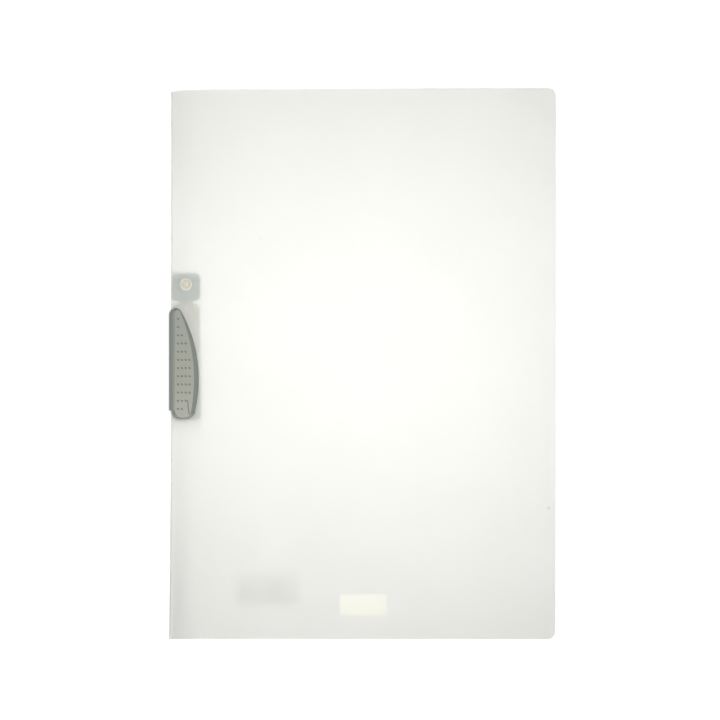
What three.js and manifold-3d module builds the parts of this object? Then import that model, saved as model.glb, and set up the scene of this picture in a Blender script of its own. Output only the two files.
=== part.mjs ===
// A4 clip folder: one folded sheet of frosted film and a one-piece clip that swings about a rivet.
// Millimetres. X runs from the spine to the free edge, Y from foot to head, Z up from the table.
import * as THREE from 'three';
import { ConvexGeometry } from 'three/addons/geometries/ConvexGeometry.js';
import { mergeVertices } from 'three/addons/utils/BufferGeometryUtils.js';
import Module from 'manifold-3d';

const wasm = await Module();
wasm.setup();

// Folded sheet
const coverWidth = 216.5;
const coverHeight = 310;
const filmThickness = 0.5;
const creaseRadius = 0.4;
const freeCornerRadius = 4.5;
const spineCornerRadius = 0.8;
const headFall = 1.6;
const headFallLength = 25;
const paperRoom = 0.6;
const raisedBeyondLeg = 3.8;
const backRampLength = 55;
const frontRampLength = 100;
const coverRestGap = 0.3;

// Line on which the front cover bends open, just clear of the clip
const bendLineClearance = 3.65;
const bendLineGap = 0.3;

// Pivot: rivet, square plate on the inside of the back cover, and the clearances between them
const pivotFromSpine = 8.3;
const pivotFromFoot = 199.5;
const plateWidth = 15.3;
const plateAbovePivot = 7.2;
const plateBelowPivot = 9.1;
const plateThickness = 1;
const plateCornerRadius = 2.2;
const plateSpineGap = 0.4;
const seatGap = 0.1;
const shankRadius = 2;
const shankClearance = 0.12;
const rivetHeadRadius = 3.6;
const rivetHeadHeight = 0.8;
const rivetRimWidth = 1;
const rivetRecessDepth = 0.45;
const rivetDomeRadius = 2.05;
const rivetTailRadius = 3.1;
const rivetTailHeight = 0.6;
const tailClearance = 0.2;

// Swing clip: leg under the back cover, web outside the spine, jaw over the front of the folder
const clipGap = 0.3;
const legThickness = 1.8;
const legReach = 16.2;
const legSpineInset = 0.4;
const legBelowPivot = 76.2;
const legCornerRadius = 2;
const shoulderBelowPivot = 10.5;
const neckWidth = 8;
const eyeRadius = 5.6;
const tongueLength = 6.5;
const tongueThickness = 0.5;
const webThickness = 1.2;
const webLength = 54;
const jawBelowPivot = 13;
const jawLength = 63;
const jawReach = 15.35;
const jawHeight = 2.6;
const lipThickness = 0.8;
const tipRadius = 3.9;
const bellyFromFoot = 23;
const lowerBellyRadius = 66;
const jawFootRadius = 3;
const spineShoulder = 2.7;
const flankAtTip = 1;
const flankAtBelly = 2.7;
const flankAtFoot = 0.9;

// Grip nubs on the jaw, in rows and columns as far as the face is wide
const nubRadius = 0.55;
const nubProud = 0.3;
const nubRowPitch = 4.58;
const nubColumnPitch = 2.14;
const nubsFromFoot = 6.1;
const nubsFromSpine = 4.33;
const nubEdgeInset = 3.8;
const nubUpperRadius = 82;
const nubLowerRadius = 45;

// Smoothness of curves
const roundSegments = 40;
const arcSegments = 10;

// Levels, from the table up
const backUnder = legThickness + clipGap;
const backTop = backUnder + filmThickness;
const plateUnder = backTop + seatGap;
const plateTop = plateUnder + plateThickness;
const headUnder = plateTop + seatGap;
const headTop = headUnder + rivetHeadHeight;
const stripUnder = headTop + paperRoom;
const stripTop = stripUnder + filmThickness;
const jawUnder = stripTop + clipGap;
const jawTop = jawUnder + jawHeight;
const frontRestUnder = filmThickness + coverRestGap;
const tallest = jawTop + nubProud;

// Places across the folder
const raisedWidth = legReach + raisedBeyondLeg;
const bendLine = jawReach + bendLineClearance;
const clipOutside = -clipGap - webThickness;

// Places along the folder
const legFoot = pivotFromFoot - legBelowPivot;
const legHead = pivotFromFoot - shoulderBelowPivot;
const jawHead = pivotFromFoot - jawBelowPivot;
const jawFoot = jawHead - jawLength;
const webHead = jawHead - tipRadius;
const belly = jawFoot + bellyFromFoot;

// Closed three.js geometry to a solid, and back
function toSolid(geometry) {
  const bare = geometry.clone();
  bare.deleteAttribute('normal');
  bare.deleteAttribute('uv');
  const merged = mergeVertices(bare, 1e-5);
  const vertProperties = new Float32Array(merged.attributes.position.array);
  const triVerts = new Uint32Array(merged.index.array);
  return new wasm.Manifold(new wasm.Mesh({ numProp: 3, vertProperties, triVerts }));
}

function toGeometry(solid) {
  const { vertProperties, triVerts } = solid.getMesh();
  const geometry = new THREE.BufferGeometry();
  geometry.setAttribute('position', new THREE.BufferAttribute(vertProperties, 3));
  geometry.setIndex(new THREE.BufferAttribute(triVerts, 1));
  return geometry;
}

// Plan outline made into a slab that starts at a level
function slab(shape, bottom, thickness) {
  const options = { depth: thickness, bevelEnabled: false, curveSegments: arcSegments };
  return new THREE.ExtrudeGeometry(shape, options).translate(0, 0, bottom);
}

// Box between two corners
function block(low, high) {
  const [width, length, height] = high.map((value, i) => value - low[i]);
  const middle = high.map((value, i) => (value + low[i]) / 2);
  return new THREE.BoxGeometry(width, length, height).translate(...middle);
}

// Upright round bar on the pivot's axis
function pivotBar(radius, bottom, top) {
  const bar = new THREE.CylinderGeometry(radius, radius, top - bottom, roundSegments);
  bar.rotateX(Math.PI / 2);
  return bar.translate(pivotFromSpine, pivotFromFoot, (bottom + top) / 2);
}

// Rectangle with a radius of its own on the spine side and on the free side
function roundedPlate(left, foot, right, head, spineRadius, freeRadius) {
  const shape = new THREE.Shape();
  shape.moveTo(left + spineRadius, foot);
  shape.lineTo(right - freeRadius, foot);
  shape.absarc(right - freeRadius, foot + freeRadius, freeRadius, -Math.PI / 2, 0);
  shape.lineTo(right, head - freeRadius);
  shape.absarc(right - freeRadius, head - freeRadius, freeRadius, 0, Math.PI / 2);
  shape.lineTo(left + spineRadius, head);
  shape.absarc(left + spineRadius, head - spineRadius, spineRadius, Math.PI / 2, Math.PI);
  shape.lineTo(left, foot + spineRadius);
  shape.absarc(left + spineRadius, foot + spineRadius, spineRadius, Math.PI, 1.5 * Math.PI);
  return shape;
}

// Plan outline of the closed folder: the head edge falls a little towards the spine
function folderOutline() {
  const radius = freeCornerRadius;
  const shape = new THREE.Shape();
  shape.moveTo(spineCornerRadius, 0);
  shape.lineTo(coverWidth - radius, 0);
  shape.absarc(coverWidth - radius, radius, radius, -Math.PI / 2, 0);
  shape.lineTo(coverWidth, coverHeight - radius);
  shape.absarc(coverWidth - radius, coverHeight - radius, radius, 0, Math.PI / 2);
  shape.lineTo(headFallLength, coverHeight);
  shape.quadraticCurveTo(headFallLength / 5, coverHeight, 0, coverHeight - headFall);
  shape.lineTo(0, spineCornerRadius);
  shape.absarc(spineCornerRadius, spineCornerRadius, spineCornerRadius, Math.PI, 1.5 * Math.PI);
  return shape;
}

// Cross-section run from foot to head, then trimmed to the plan outline
function filmSolid(section) {
  const options = { depth: coverHeight, bevelEnabled: false, curveSegments: arcSegments };
  const run = new THREE.ExtrudeGeometry(section, options);
  run.rotateX(Math.PI / 2).translate(0, coverHeight, 0);
  const outline = slab(folderOutline(), -filmThickness, tallest + filmThickness);
  return toSolid(run).intersect(toSolid(outline));
}

// Gentle S from one height to another, for one face of a film
function addRamp(shape, fromX, fromZ, toX, toZ) {
  const third = (toX - fromX) / 3;
  shape.bezierCurveTo(fromX + third, fromZ, toX - third, toZ, toX, toZ);
}

// Back cover, spine wall and the narrow front strip under the jaw, folded from one film
function makeBackAndSpine() {
  const rampEnd = raisedWidth + backRampLength;
  const stripEnd = bendLine - bendLineGap / 2;
  const inside = filmThickness + creaseRadius;
  const section = new THREE.Shape();
  section.moveTo(coverWidth, 0);
  section.lineTo(coverWidth, filmThickness);
  section.lineTo(rampEnd, filmThickness);
  addRamp(section, rampEnd, filmThickness, raisedWidth, backTop);
  section.lineTo(inside, backTop);
  section.absarc(inside, backTop + creaseRadius, creaseRadius, -Math.PI / 2, Math.PI, true);
  section.lineTo(filmThickness, stripUnder - creaseRadius);
  section.absarc(inside, stripUnder - creaseRadius, creaseRadius, Math.PI, Math.PI / 2, true);
  section.lineTo(stripEnd, stripUnder);
  section.lineTo(stripEnd, stripTop);
  section.lineTo(inside, stripTop);
  section.absarc(inside, stripTop - inside, inside, Math.PI / 2, Math.PI);
  section.lineTo(0, backUnder + inside);
  section.absarc(inside, backUnder + inside, inside, Math.PI, 1.5 * Math.PI);
  section.lineTo(raisedWidth, backUnder);
  addRamp(section, raisedWidth, backUnder, rampEnd, 0);
  const rivetHole = pivotBar(shankRadius + shankClearance, 0, plateTop);
  return toGeometry(filmSolid(section).subtract(toSolid(rivetHole)));
}

// Front cover: from the bend line it sags to rest on the back cover
function makeFrontCover() {
  const start = bendLine + bendLineGap / 2;
  const rampEnd = bendLine + frontRampLength;
  const frontRestTop = frontRestUnder + filmThickness;
  const section = new THREE.Shape();
  section.moveTo(start, stripUnder);
  addRamp(section, start, stripUnder, rampEnd, frontRestUnder);
  section.lineTo(coverWidth, frontRestUnder);
  section.lineTo(coverWidth, frontRestTop);
  section.lineTo(rampEnd, frontRestTop);
  addRamp(section, rampEnd, frontRestTop, start, stripTop);
  return toGeometry(filmSolid(section));
}

// Square plate that spreads the rivet's pull over the film
function makePivotPlate() {
  const left = filmThickness + plateSpineGap;
  const foot = pivotFromFoot - plateBelowPivot;
  const head = pivotFromFoot + plateAbovePivot;
  const cornerRadii = [plateCornerRadius / 2, plateCornerRadius];
  const outline = roundedPlate(left, foot, left + plateWidth, head, ...cornerRadii);
  const plate = toSolid(slab(outline, plateUnder, plateThickness));
  const hole = toSolid(pivotBar(shankRadius + shankClearance, 0, headTop));
  return toGeometry(plate.subtract(hole));
}

// Rivet: domed and rimmed head on the plate, shank through plate, film and clip, flat tail
function makePivotRivet() {
  const recess = headTop - rivetRecessDepth;
  const rimInner = rivetHeadRadius - rivetRimWidth;
  const rimEdge = rivetRimWidth / 4;
  const tailBottom = tailClearance;
  const tailTop = tailBottom + rivetTailHeight;
  const profile = new THREE.Path();
  profile.moveTo(0, tailBottom);
  profile.lineTo(rivetTailRadius, tailBottom);
  profile.lineTo(rivetTailRadius, tailTop);
  profile.lineTo(shankRadius, tailTop);
  profile.lineTo(shankRadius, headUnder);
  profile.lineTo(rivetHeadRadius, headUnder);
  profile.lineTo(rivetHeadRadius, headTop - rimEdge);
  profile.lineTo(rivetHeadRadius - rimEdge, headTop);
  profile.lineTo(rimInner + rimEdge, headTop);
  profile.lineTo(rimInner, recess);
  profile.lineTo(rivetDomeRadius, recess);
  profile.quadraticCurveTo(rivetDomeRadius * 0.7, headTop, 0, headTop);
  const rivet = new THREE.LatheGeometry(profile.getPoints(5), roundSegments);
  rivet.rotateX(Math.PI / 2).translate(pivotFromSpine, pivotFromFoot, 0);
  return toGeometry(toSolid(rivet));
}

// D-shaped outline of the jaw at one level: straight on the spine side, bellied on the other
function jawOutline({ left, head, reach, foot, tip, footLeft }) {
  const across = reach - (left + tip);
  const along = head - tip - belly;
  const upperRadius = (across ** 2 + along ** 2 - tip ** 2) / (2 * (across - tip));
  const upper = new THREE.Vector2(reach - upperRadius, belly);
  const tipCentre = new THREE.Vector2(left + tip, head - tip);
  const tangent = tipCentre.clone().sub(upper).angle();
  const rise = belly - foot - jawFootRadius;
  const lowerRadius = lowerBellyRadius;
  const inset = Math.sqrt((lowerRadius - jawFootRadius) ** 2 - rise ** 2);
  const footCentre = new THREE.Vector2(reach - lowerRadius + inset, foot + jawFootRadius);
  const footAngle = -Math.atan2(rise, inset);
  const outline = new THREE.Path();
  outline.moveTo(footLeft + jawFootRadius, foot);
  outline.absarc(footCentre.x, footCentre.y, jawFootRadius, -Math.PI / 2, footAngle);
  outline.absarc(reach - lowerRadius, belly, lowerRadius, footAngle, 0);
  outline.absarc(upper.x, upper.y, upperRadius, 0, tangent);
  outline.absarc(tipCentre.x, tipCentre.y, tip, tangent, Math.PI);
  outline.lineTo(left, webHead - webLength);
  outline.lineTo(footLeft, foot + jawFootRadius);
  const footEdge = footLeft + jawFootRadius;
  outline.absarc(footEdge, foot + jawFootRadius, jawFootRadius, Math.PI, 1.5 * Math.PI);
  return outline.getPoints(arcSegments);
}

// Jaw as the hull of its outlines, level by level, with a rounded shoulder over the spine
function jawSolid() {
  const level = (height, shoulder, flank) => {
    const outline = jawOutline({
      left: clipOutside + spineShoulder * shoulder,
      head: jawHead - flankAtTip * flank,
      reach: jawReach - flankAtBelly * flank,
      foot: jawFoot + flankAtFoot * flank,
      tip: tipRadius - flankAtTip * flank,
      footLeft: legSpineInset + spineShoulder * shoulder / 2,
    });
    return outline.map((point) => new THREE.Vector3(point.x, point.y, height));
  };
  const slope = jawHeight - lipThickness;
  const roundPart = 1 - Math.SQRT1_2;
  const roundHeight = Math.min(spineShoulder, slope) * roundPart;
  const points = [
    ...level(jawUnder, 0, 0),
    ...level(jawUnder + lipThickness, 0, 0),
    ...level(jawTop - roundHeight, roundPart, 1 - roundHeight / slope),
    ...level(jawTop, 1, 1),
  ];
  return toSolid(new ConvexGeometry(points));
}

// Edge of the field of nubs, which follows the jaw's belly
function nubEdge(y) {
  const radius = y > belly ? nubUpperRadius : nubLowerRadius;
  return jawReach - nubEdgeInset - radius + Math.sqrt(radius ** 2 - (y - belly) ** 2);
}

function addNubs(jaw) {
  let solid = jaw;
  const nubLevel = jawTop + nubProud - nubRadius;
  for (let y = jawFoot + nubsFromFoot; y < jawHead - tipRadius; y += nubRowPitch) {
    for (let x = nubsFromSpine; x <= nubEdge(y); x += nubColumnPitch) {
      const nub = new THREE.SphereGeometry(nubRadius, 8, 6);
      nub.rotateX(Math.PI / 2).translate(x, y, nubLevel);
      solid = solid.add(toSolid(nub));
    }
  }
  return solid;
}

// Clip: leg with neck, eye and thin tongue, joined to the jaw by the web
function makeSwingClip() {
  const legRadii = [legCornerRadius / 2, legCornerRadius];
  const legPlan = roundedPlate(legSpineInset, legFoot, legReach, legHead, ...legRadii);
  const leg = toSolid(slab(legPlan, 0, legThickness));
  const tongueFoot = legFoot - tongueLength;
  const tongueHead = legFoot + legCornerRadius;
  const tonguePlan = roundedPlate(legSpineInset, tongueFoot, legReach, tongueHead, ...legRadii);
  const tongue = toSolid(slab(tonguePlan, legThickness - tongueThickness, tongueThickness));
  const neckLow = [pivotFromSpine - neckWidth / 2, legHead - legCornerRadius, 0];
  const neckHigh = [pivotFromSpine + neckWidth / 2, pivotFromFoot, legThickness];
  const neck = toSolid(block(neckLow, neckHigh));
  const eye = toSolid(pivotBar(eyeRadius, 0, legThickness));
  const webLow = [clipOutside, webHead - webLength, 0];
  const web = toSolid(block(webLow, [-clipGap, webHead, jawUnder + lipThickness / 2]));
  const sole = toSolid(block(webLow, [legSpineInset + legCornerRadius, webHead, legThickness]));
  const hole = toSolid(pivotBar(shankRadius + shankClearance, -legThickness, backUnder));
  const tailRoom = tailClearance + rivetTailHeight + tailClearance;
  const counterbore = toSolid(pivotBar(rivetTailRadius + tailClearance, -legThickness, tailRoom));
  const body = leg.add(tongue).add(neck).add(eye).add(sole).add(web).add(jawSolid());
  return toGeometry(addNubs(body).subtract(hole).subtract(counterbore));
}

function makeMesh(name, geometry, colour, roughness, metalness = 0) {
  const material = new THREE.MeshStandardMaterial({ color: colour, roughness, metalness });
  const mesh = new THREE.Mesh(geometry, material);
  mesh.name = name;
  return mesh;
}

const folder = new THREE.Group();
folder.add(
  makeMesh('back_cover_and_spine', makeBackAndSpine(), 0xe6e8e3, 0.5),
  makeMesh('front_cover', makeFrontCover(), 0xf4f5f0, 0.5),
  makeMesh('pivot_plate', makePivotPlate(), 0xb4bdb5, 0.45),
  makeMesh('pivot_rivet', makePivotRivet(), 0xdad5c4, 0.4),
  makeMesh('swing_clip', makeSwingClip(), 0xa6aa9c, 0.42),
);
folder.position.set(-(coverWidth + clipOutside) / 2, -coverHeight / 2, 0);

export default folder;
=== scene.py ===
from math import atan2, cos, pi, radians, sin, sqrt

import bmesh
import bpy
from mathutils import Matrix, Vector


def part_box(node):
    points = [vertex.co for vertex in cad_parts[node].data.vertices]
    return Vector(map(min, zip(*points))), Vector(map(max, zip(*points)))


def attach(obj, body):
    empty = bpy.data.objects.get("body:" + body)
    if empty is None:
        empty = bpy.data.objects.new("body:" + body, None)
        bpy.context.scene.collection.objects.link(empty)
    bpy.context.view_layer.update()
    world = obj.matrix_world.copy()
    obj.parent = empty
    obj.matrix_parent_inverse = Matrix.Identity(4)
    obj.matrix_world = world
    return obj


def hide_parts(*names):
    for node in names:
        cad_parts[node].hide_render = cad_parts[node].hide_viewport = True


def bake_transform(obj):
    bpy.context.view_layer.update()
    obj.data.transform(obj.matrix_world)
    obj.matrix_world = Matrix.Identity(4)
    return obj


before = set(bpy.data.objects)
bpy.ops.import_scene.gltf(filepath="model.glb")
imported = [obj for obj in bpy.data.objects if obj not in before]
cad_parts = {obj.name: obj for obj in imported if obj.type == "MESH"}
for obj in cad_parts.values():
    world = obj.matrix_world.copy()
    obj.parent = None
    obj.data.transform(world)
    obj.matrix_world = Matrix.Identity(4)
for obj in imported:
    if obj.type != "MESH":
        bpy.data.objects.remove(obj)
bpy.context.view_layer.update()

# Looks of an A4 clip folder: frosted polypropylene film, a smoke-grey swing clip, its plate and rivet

MM = 0.001

# Sizes of the folded film, in millimetres, measured from the outer face of the spine and the foot
FILM = 0.5
COVER_WIDTH = 216.5
COVER_HEIGHT = 310.0
FREE_CORNER = 4.5
SPINE_CORNER = 0.8
CREASE = 0.35
RAISED_WIDTH = 20.0
RAISED_LEVEL = 2.1
BACK_RAMP = 55.0
BEND_LINE = 19.0
BEND_REACH = 2.0
FRONT_RAMP = 100.0
ROWS = 72

# The photograph's frame, and the point of the folder that its middle shows
PHOTO_SIZE = 720
FOLDER_PIXELS = 551.4
FOOT_PIXEL = 639.25
SPINE_PIXEL = 171.2
CAMERA_HEIGHT = 1800.0
MM_PER_PIXEL = COVER_HEIGHT / FOLDER_PIXELS
MIDDLE_X = (PHOTO_SIZE / 2 - SPINE_PIXEL) * MM_PER_PIXEL
MIDDLE_Y = (FOOT_PIXEL - PHOTO_SIZE / 2) * MM_PER_PIXEL

# Outline as the photograph has it: the head falls towards the spine, and the spine leans out at the foot
HEAD_FALL = 1.5
HEAD_FALL_LENGTH = 25.0
HEAD_FALL_LEAD = 40.0
HEAD_LEAN = 0.8
HEAD_LEAN_LENGTH = 190.0
SPINE_BOW = 1.15
SPINE_BOW_HEIGHT = 130.0
SPINE_BOW_WIDTH = 45.0
SPINE_BOW_CURVE = 1.15
FREE_EDGE_LEAN = 0.5
FREE_EDGE_LEAN_HEIGHT = 150.0
FREE_EDGE_LEAN_CURVE = 4

# Low waves of the front cover, in millimetres, none of them near the spine
FRONT_WAVINESS = 0.12
CROSSED_WAVE = (31, 47)
CROSSED_SHIFT = (0.8, 0.4)
CROSSED_SHARE = 0.6
SLANTED_WAVE = (19, 62)
SLANTED_SHARE = 0.4
WAVES_FROM = 30
WAVES_RISE = 60

# Levels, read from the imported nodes
plate_low, plate_high = (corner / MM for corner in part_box("pivot_plate"))
rivet_low, rivet_high = (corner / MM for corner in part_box("pivot_rivet"))
back_low, back_high = (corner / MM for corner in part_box("back_cover_and_spine"))
clip_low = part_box("swing_clip")[0] / MM
front_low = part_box("front_cover")[0] / MM

# The frame's place of the spine's outer face and of the foot edge
SPINE_X = back_low.x
FOOT_Y = back_low.y
STRIP_TOP = back_high.z
STRIP_MIDDLE = STRIP_TOP - FILM / 2
RAISED_MIDDLE = RAISED_LEVEL + FILM / 2
FRONT_REST = front_low.z + FILM / 2


def linear(code):
    """sRGB hex to linear RGBA."""
    channels = [int(code[i:i + 2], 16) / 255 for i in (1, 3, 5)]
    return [c / 12.92 if c <= 0.04045 else ((c + 0.055) / 1.055) ** 2.4 for c in channels] + [1.0]


def node(tree, kind, inputs=None, **settings):
    """Adds a node with its settings, its plain inputs and its links."""
    made = tree.nodes.new(kind)
    for name, value in settings.items():
        setattr(made, name, value)
    for name, value in (inputs or {}).items():
        if isinstance(value, bpy.types.NodeSocket):
            tree.links.new(value, made.inputs[name])
        else:
            made.inputs[name].default_value = value
    return made


def frame_point(x, y, z):
    """Folder millimetres, from the spine and the foot, to frame metres, drawn in a little with height."""
    nearer = 1 - z / CAMERA_HEIGHT
    x = MIDDLE_X + (x - MIDDLE_X) * nearer
    y = MIDDLE_Y + (y - MIDDLE_Y) * nearer
    return Vector((x + SPINE_X, y + FOOT_Y, z)) * MM


def smooth(t):
    """Even rise from 0 to 1, level at both ends."""
    t = min(max(t, 0.0), 1.0)
    return t * t * (3 - 2 * t)


def shaded(mesh, sharp_from=35):
    """Smooth shading with sharp edges kept, and level faces left flat."""
    level = 0.9999
    mesh.shade_smooth()
    mesh.set_sharp_from_angle(angle=radians(sharp_from))
    for face in mesh.polygons:
        face.use_smooth = abs(face.normal.z) < level


def new_piece(name, mesh, material):
    piece = bpy.data.objects.new(name, mesh)
    bpy.context.scene.collection.objects.link(piece)
    mesh.materials.clear()
    mesh.materials.append(material)
    return piece


# Folded film

def head_at(x):
    """Height of the head edge above the foot at a distance from the spine."""
    head = COVER_HEIGHT - HEAD_LEAN * (1 - smooth(x / HEAD_LEAN_LENGTH))
    if x < HEAD_FALL_LENGTH:
        short = HEAD_FALL_LENGTH - max(x, 0.0)
        bend = HEAD_FALL_LEAD - HEAD_FALL_LENGTH
        t = (HEAD_FALL_LEAD - sqrt(HEAD_FALL_LEAD ** 2 - 4 * bend * short)) / (2 * bend)
        head -= HEAD_FALL * t * t
    past = x - (COVER_WIDTH - FREE_CORNER)
    if past > 0:
        head -= FREE_CORNER - sqrt(max(FREE_CORNER ** 2 - past ** 2, 0))
    return head


def foot_at(x):
    """Height of the foot edge: 0, but for the two rounded corners."""
    past = x - (COVER_WIDTH - FREE_CORNER)
    if past > 0:
        return FREE_CORNER - sqrt(max(FREE_CORNER ** 2 - past ** 2, 0))
    short = min(max(SPINE_CORNER - x, 0), SPINE_CORNER)
    return SPINE_CORNER - sqrt(SPINE_CORNER ** 2 - short ** 2)


def across(start, end, steps):
    return [start + (end - start) * i / steps for i in range(1, steps + 1)]


def corner_columns():
    """Columns over the rounded free corner, close together towards the edge."""
    start = COVER_WIDTH - FREE_CORNER
    return [start + FREE_CORNER * sin(pi / 2 * i / 9) for i in range(1, 10)]


def ramp(x, from_x, from_z, to_x, to_z):
    return from_z + (to_z - from_z) * smooth((x - from_x) / (to_x - from_x))


def back_path():
    """Middle line of the back cover and the spine wall, from the free edge to the upper crease."""
    ramp_end = RAISED_WIDTH + BACK_RAMP
    xs = [CREASE + FILM / 2] + across(CREASE + FILM / 2, RAISED_WIDTH, 8)
    xs += across(RAISED_WIDTH, ramp_end, 16) + across(ramp_end, COVER_WIDTH - FREE_CORNER, 24)
    xs += corner_columns()
    path = [(x, ramp(x, RAISED_WIDTH, RAISED_MIDDLE, ramp_end, FILM / 2)) for x in reversed(xs)]
    centre = (CREASE + FILM / 2, RAISED_MIDDLE + CREASE)
    for i in range(1, 9):
        turn = -pi / 2 - pi / 2 * i / 8
        path.append((centre[0] + CREASE * cos(turn), centre[1] + CREASE * sin(turn)))
    wall_end = STRIP_MIDDLE - CREASE
    path += [(FILM / 2, z) for z in across(centre[1], wall_end, 4)]
    return path


def front_path():
    """Middle line of the upper crease, the strip under the jaw and the front cover."""
    ramp_end = BEND_LINE + FRONT_RAMP
    centre = (CREASE + FILM / 2, STRIP_MIDDLE - CREASE)
    path = [(FILM / 2, centre[1])]
    for i in range(1, 9):
        turn = pi - pi / 2 * i / 8
        path.append((centre[0] + CREASE * cos(turn), centre[1] + CREASE * sin(turn)))
    xs = across(centre[0], BEND_LINE - BEND_REACH, 16)
    xs += across(BEND_LINE - BEND_REACH, BEND_LINE + BEND_REACH, 14)
    xs += across(BEND_LINE + BEND_REACH, ramp_end, 26)
    xs += across(ramp_end, COVER_WIDTH - FREE_CORNER, 24) + corner_columns()
    return path + [(x, ramp(x, BEND_LINE, STRIP_MIDDLE, ramp_end, FRONT_REST)) for x in xs]


def lie(x, y, waviness):
    """How far the film floats above its flat lie: long, low waves away from the spine."""
    across_wave = sin(x / CROSSED_WAVE[0] + CROSSED_SHIFT[0])
    along_wave = sin(y / CROSSED_WAVE[1] + CROSSED_SHIFT[1])
    slanted = sin(x / SLANTED_WAVE[0] - y / SLANTED_WAVE[1])
    wave = 1 + CROSSED_SHARE * across_wave * along_wave + SLANTED_SHARE * slanted
    return waviness * wave * smooth((x - WAVES_FROM) / WAVES_RISE)


def leaned(x, y):
    """Distance from the spine after the spine's bow and the free edge's lean, both greatest at the foot."""
    bow = SPINE_BOW * max(1 - y / SPINE_BOW_HEIGHT, 0) ** SPINE_BOW_CURVE
    share = (x / COVER_WIDTH) ** FREE_EDGE_LEAN_CURVE
    lean = FREE_EDGE_LEAN * max(1 - y / FREE_EDGE_LEAN_HEIGHT, 0) * share
    return x - bow * (1 - smooth(x / SPINE_BOW_WIDTH)) - lean


def film_mesh(name, path, waviness):
    """Closed film of even thickness along a path, cut to the folder's outline."""
    work = bmesh.new()
    faces = {1: [], -1: []}
    for i, (x, z) in enumerate(path):
        ahead = path[min(i + 1, len(path) - 1)]
        behind = path[max(i - 1, 0)]
        along = Vector((ahead[0] - behind[0], ahead[1] - behind[1])).normalized()
        normal = Vector((-along.y, along.x))
        foot, head = foot_at(x), head_at(x)
        for side, columns in faces.items():
            column = []
            for j in range(ROWS + 1):
                y = foot + (head - foot) * j / ROWS
                px = leaned(x, y) + side * normal.x * FILM / 2
                pz = z + side * normal.y * FILM / 2 + lie(x, y, waviness)
                column.append(work.verts.new(frame_point(px, y, pz)))
            columns.append(column)
    last = len(path) - 1
    for i in range(last):
        for j in range(ROWS):
            for side in faces:
                a, b = faces[side][i], faces[side][i + 1]
                work.faces.new((a[j], b[j], b[j + 1], a[j + 1]))
    for i in range(last):
        for j in (0, ROWS):
            upper, under = faces[1], faces[-1]
            work.faces.new((upper[i][j], upper[i + 1][j], under[i + 1][j], under[i][j]))
    for i in (0, last):
        for j in range(ROWS):
            upper, under = faces[1][i], faces[-1][i]
            work.faces.new((upper[j], upper[j + 1], under[j + 1], under[j]))
    bmesh.ops.recalc_face_normals(work, faces=work.faces)
    mesh = bpy.data.meshes.new(name)
    work.to_mesh(mesh)
    work.free()
    shaded(mesh)
    return mesh


# Swing clip, in millimetres from the spine and, along the folder, from its pivot
WEB_OUTSIDE = clip_low.x - SPINE_X
WEB_THICKNESS = 1.2
WEB_INSET = 0.25
SOLE_INSET = 0.3
SOLE_REACH = 3.0
PIVOT_X = (rivet_low.x + rivet_high.x) / 2 - SPINE_X
PIVOT_Y = (rivet_low.y + rivet_high.y) / 2 - FOOT_Y
JAW_HEAD = PIVOT_Y - 13.35
JAW_FOOT = JAW_HEAD - 62.3
BELLY = JAW_HEAD - 39.65
JAW_LEFT = WEB_OUTSIDE + 0.28
JAW_REACH = 15.5
LOWER_BELLY = 84.0
FACE_FULLER = 20.0
FOOT_RADIUS = 4.7
TIP_RADIUS = 3.65
WEB_HEAD = JAW_HEAD - 3.75
WEB_FOOT = WEB_HEAD - 53.8
FOOT_BELOW_WEB = 0.15
JAW_UNDER = STRIP_TOP + 0.3
JAW_TOP = JAW_UNDER + 2.6
LIP = 0.55
LIP_EDGE = 0.2
FACE_EDGE = 0.35
SHOULDER = 3.25
SHOULDER_LEAN = 0.68
SHOULDER_CURVE = 4
FLANK_HOLLOW = 0.06
FLANK_TIP = 1.0
FLANK_BELLY = 2.7
FLANK_FOOT = 0.7
FACE_LEFT_FOOT = 0.4
LEG_TOP = 1.8
LEG_REACH = 16.9
LEG_LEAN = 1.0
LEG_HEAD = PIVOT_Y - 10.95
LEG_FOOT = PIVOT_Y - 76.2
LEG_SPINE_CORNER = 1.5
LEG_FREE_CORNER = 2.4
LEG_EDGE = 0.3
NECK_HALF = 4
NECK_OVERLAP = 2
EYE_RADIUS = 5.6
EYE_HOLE = 2.35
TAIL_BORE = 3.5
TAIL_BORE_TOP = 1.05
TONGUE = 6.5
TONGUE_THICKNESS = 0.45
TONGUE_BELOW_LEG = 0.05
TONGUE_INSET = 0.02


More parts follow.
